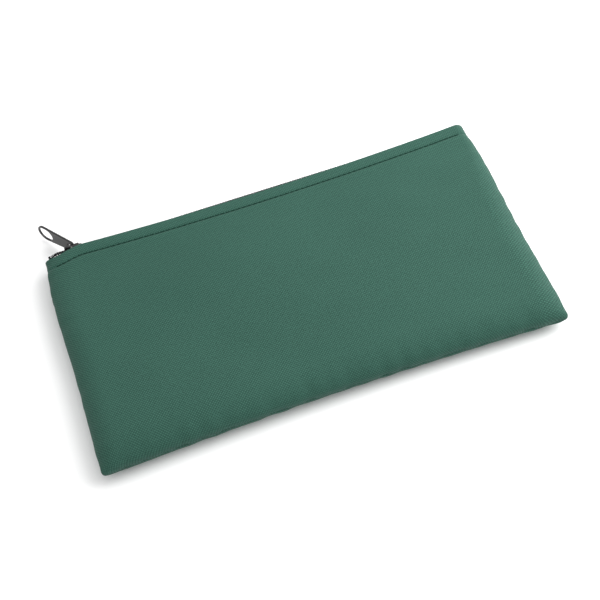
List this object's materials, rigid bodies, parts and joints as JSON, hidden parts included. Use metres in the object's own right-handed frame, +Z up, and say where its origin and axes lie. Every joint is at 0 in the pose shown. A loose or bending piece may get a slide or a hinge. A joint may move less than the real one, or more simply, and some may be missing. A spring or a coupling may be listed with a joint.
{
  "type": "cash deposit bag",
  "caption": "Flat rectangular woven-cloth pouch for deposits, closed along one long edge by a coil zip with a metal slider and a swinging pull tab.",
  "frame": {"origin": "on the table under the middle of the pouch, in the flat middle of the back panel", "axes": "+X along the zip from the slider's closed end towards the other end, +Y from the bottom seam towards the zip, +Z up out of the front panel"},
  "size_m": [0.283, 0.1842, 0.0191],
  "materials": {
    "cloth": "plain-woven coated polyester, low sheen",
    "zip_tape": "woven tape, matte",
    "zip_coil": "moulded nylon coil, satin",
    "zip_cord": "twisted cord, matte",
    "zip_thread": "sewing thread, matte",
    "slider_metal": "black paint, semi-gloss, worn at edges",
    "tab_metal": "black paint, semi-gloss, worn at edges",
    "top_thread": "polyester sewing thread",
    "seam_thread": "polyester sewing thread",
    "overlock_thread": "overlocked thread edge",
    "tack_thread": "dense bar tack"
  },
  "bodies": {
    "bag": {"front_panel": "cloth", "back_panel": "cloth", "zip_tape_front": "zip_tape", "zip_tape_back": "zip_tape", "coil_front": "zip_coil", "coil_back": "zip_coil", "core_cord_front": "zip_cord", "core_cord_back": "zip_cord", "coil_stitch_front": "zip_thread", "coil_stitch_back": "zip_thread", "topstitch_front": "top_thread", "topstitch_back": "top_thread", "side_seam_left": "seam_thread", "side_seam_right": "seam_thread", "bottom_seam": "seam_thread", "overlock_left": "overlock_thread", "overlock_right": "overlock_thread", "overlock_bottom": "overlock_thread", "zip_tack_left": "tack_thread", "zip_tack_right": "tack_thread"},
    "slider": {"slider_body": "slider_metal", "slider_crown": "slider_metal"},
    "tab": {"pull_tab": "tab_metal"}
  },
  "joints": [
    {"name": "slider_slide", "type": "slide", "parent": "bag", "child": "slider", "axis": [1, 0, 0], "range_m": [0, 0.246], "deforming": ["coil_front", "coil_back"]},
    {"name": "pull_tab_swing", "type": "hinge", "parent": "slider", "child": "tab", "pos_m": [-0.12, 0.0831, 0.0105], "axis": [0, 0.1392, 0.9903], "range_deg": [-120, 50]}
  ]
}
